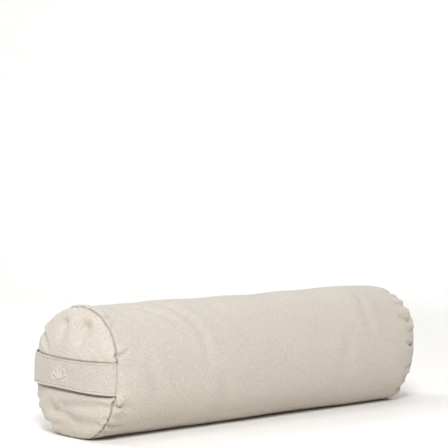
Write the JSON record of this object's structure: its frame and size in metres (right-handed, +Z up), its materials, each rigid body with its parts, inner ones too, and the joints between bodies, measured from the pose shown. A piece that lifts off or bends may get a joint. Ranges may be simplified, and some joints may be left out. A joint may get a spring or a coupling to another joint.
{
  "type": "bolster pillow",
  "caption": "Firm cylindrical floor bolster in a zipped cotton canvas cover, with crowned round ends and a flat sewn carrying strap across its end.",
  "frame": {"origin": "centre of the flattened underside that the bolster rests on, midway between its two end seams", "axes": "+X along the bolster, away from the end with the carrying strap; +Y towards the zip at the back; +Z up"},
  "size_m": [0.7347, 0.2146, 0.2022],
  "materials": {
    "canvas": "matte",
    "thread": "satin",
    "zip_tape": "matte",
    "zip_coil": "satin",
    "zip_metal": "satin",
    "label": "satin",
    "liner_cotton": "matte",
    "wadding": "matte"
  },
  "bodies": {
    "bolster": {"cover_body_panel": "canvas", "cover_handle_end_panel": "canvas", "cover_plain_end_panel": "canvas", "zip_tape_upper": "zip_tape", "zip_tape_lower": "zip_tape", "zip_coil_upper": "zip_coil", "zip_coil_lower": "zip_coil", "zip_bartacks": "thread", "care_label": "label", "liner_body": "liner_cotton", "liner_handle_end": "liner_cotton", "liner_plain_end": "liner_cotton", "filling_core": "wadding", "filling_wrap": "wadding", "filling_pad_handle_end": "wadding", "filling_pad_plain_end": "wadding"},
    "zip_slider": {"zip_slider": "zip_metal"},
    "zip_pull": {"zip_pull": "zip_metal"},
    "handle": {"handle_strap": "canvas", "handle_embroidery": "thread"}
  },
  "joints": [
    {"name": "zip_travel", "type": "slide", "parent": "bolster", "child": "zip_slider", "axis": [1, 0, 0], "range_m": [0, 0.496]},
    {"name": "pull_swing", "type": "hinge", "parent": "zip_slider", "child": "zip_pull", "pos_m": [-0.248, 0.1074, 0.0972], "axis": [0, 0, 1], "range_deg": [0, 170]},
    {"name": "handle_lift", "type": "slide", "parent": "bolster", "child": "handle", "axis": [-1, 0, 0], "range_m": [0, 0.018]}
  ]
}
